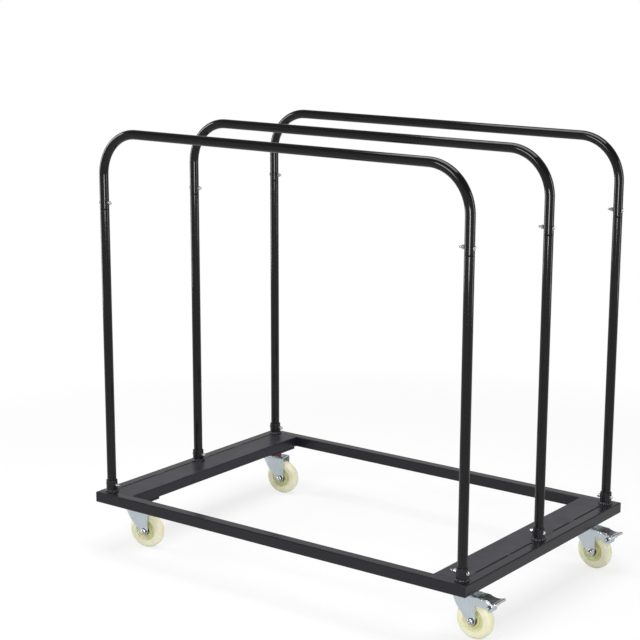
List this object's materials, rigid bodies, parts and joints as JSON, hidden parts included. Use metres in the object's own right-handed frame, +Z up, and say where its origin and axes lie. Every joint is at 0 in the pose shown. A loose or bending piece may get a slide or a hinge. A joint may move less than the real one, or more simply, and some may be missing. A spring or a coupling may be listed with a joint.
{
  "type": "drywall cart",
  "caption": "Low welded tube base on swivel casters, some with foot brakes, that carries a row of upright tube hoops which hold sheets of board on edge between them.",
  "frame": {"origin": "on the floor, on the centre line, midway between the left end of the base and the tips of the brake pedals", "axes": "+X along the base towards the braked casters, +Y across the base to the back, +Z up"},
  "size_m": [1.2476, 0.79, 1.165],
  "materials": {
    "black_paint": "gloss",
    "zinc_plate": "satin",
    "bright_zinc": "gloss",
    "bearing_steel": "polished",
    "chrome_plate": "polished",
    "black_steel": "satin",
    "ivory_nylon": "satin",
    "black_plastic": "matte",
    "seal_rubber": "matte"
  },
  "bodies": {
    "chassis": {"front_rail": "black_paint", "back_rail": "black_paint", "left_rail": "black_paint", "right_rail": "black_paint", "left_deck": "black_paint", "right_deck": "black_paint", "frame_welds": "black_paint", "corner_plates": "black_paint", "post_sockets": "black_paint", "front_hoop": "black_paint", "middle_hoop": "black_paint", "back_hoop": "black_paint", "post_bolts": "bright_zinc", "post_nuts": "bright_zinc", "caster_top_plates": "zinc_plate", "caster_plate_bolts": "bright_zinc", "kingpins": "zinc_plate", "swivel_balls": "bearing_steel", "swivel_seals": "seal_rubber", "front_left_post": "black_paint", "front_right_post": "black_paint", "middle_left_post": "black_paint", "middle_right_post": "black_paint", "back_left_post": "black_paint", "back_right_post": "black_paint"},
    "front_left_caster": {"front_left_fork": "zinc_plate", "front_left_hub_sleeve": "zinc_plate", "front_left_dust_washers": "black_plastic", "front_left_axle_bolt": "bright_zinc", "front_left_axle_nut": "bright_zinc"},
    "front_left_wheel": {"front_left_wheel": "ivory_nylon"},
    "back_left_caster": {"back_left_fork": "zinc_plate", "back_left_hub_sleeve": "zinc_plate", "back_left_dust_washers": "black_plastic", "back_left_axle_bolt": "bright_zinc", "back_left_axle_nut": "bright_zinc"},
    "back_left_wheel": {"back_left_wheel": "ivory_nylon"},
    "front_right_caster": {"front_right_fork": "zinc_plate", "front_right_hub_sleeve": "zinc_plate", "front_right_dust_washers": "black_plastic", "front_right_axle_bolt": "bright_zinc", "front_right_axle_nut": "bright_zinc", "front_right_pedal_bolt": "bright_zinc", "front_right_pedal_nut": "black_steel", "front_right_stop_pin": "bright_zinc"},
    "front_right_wheel": {"front_right_wheel": "ivory_nylon"},
    "front_right_pedal": {"front_right_brake_pedal": "chrome_plate", "front_right_brake_shoe": "black_steel"},
    "back_right_caster": {"back_right_fork": "zinc_plate", "back_right_hub_sleeve": "zinc_plate", "back_right_dust_washers": "black_plastic", "back_right_axle_bolt": "bright_zinc", "back_right_axle_nut": "bright_zinc", "back_right_pedal_bolt": "bright_zinc", "back_right_pedal_nut": "black_steel", "back_right_stop_pin": "bright_zinc"},
    "back_right_wheel": {"back_right_wheel": "ivory_nylon"},
    "back_right_pedal": {"back_right_brake_pedal": "chrome_plate", "back_right_brake_shoe": "black_steel"}
  },
  "joints": [
    {"name": "front_left_swivel", "type": "hinge", "parent": "chassis", "child": "front_left_caster", "pos_m": [-0.56127, -0.306, 0.116], "axis": [0, 0, 1], "continuous": true},
    {"name": "front_left_roll", "type": "hinge", "parent": "front_left_caster", "child": "front_left_wheel", "pos_m": [-0.52424, -0.29745, 0.05], "axis": [-0.225, 0.9744, 0], "continuous": true},
    {"name": "back_left_swivel", "type": "hinge", "parent": "chassis", "child": "back_left_caster", "pos_m": [-0.56127, 0.306, 0.116], "axis": [0, 0, 1], "continuous": true},
    {"name": "back_left_roll", "type": "hinge", "parent": "back_left_caster", "child": "back_left_wheel", "pos_m": [-0.52374, 0.31194, 0.05], "axis": [-0.1564, 0.9877, 0], "continuous": true},
    {"name": "front_right_swivel", "type": "hinge", "parent": "chassis", "child": "front_right_caster", "pos_m": [0.51373, -0.306, 0.116], "axis": [0, 0, 1], "continuous": true},
    {"name": "front_right_roll", "type": "hinge", "parent": "front_right_caster", "child": "front_right_wheel", "pos_m": [0.55173, -0.306, 0.05], "axis": [0, 1, 0], "continuous": true},
    {"name": "front_right_brake", "type": "hinge", "parent": "front_right_caster", "child": "front_right_pedal", "pos_m": [0.60176, -0.306, 0.0965], "axis": [0, 1, 0], "range_deg": [0, 25]},
    {"name": "back_right_swivel", "type": "hinge", "parent": "chassis", "child": "back_right_caster", "pos_m": [0.51373, 0.306, 0.116], "axis": [0, 0, 1], "continuous": true},
    {"name": "back_right_roll", "type": "hinge", "parent": "back_right_caster", "child": "back_right_wheel", "pos_m": [0.55159, 0.30269, 0.05], "axis": [0.0872, 0.9962, 0], "continuous": true},
    {"name": "back_right_brake", "type": "hinge", "parent": "back_right_caster", "child": "back_right_pedal", "pos_m": [0.60142, 0.29833, 0.0965], "axis": [0.0872, 0.9962, 0], "range_deg": [0, 25]}
  ]
}
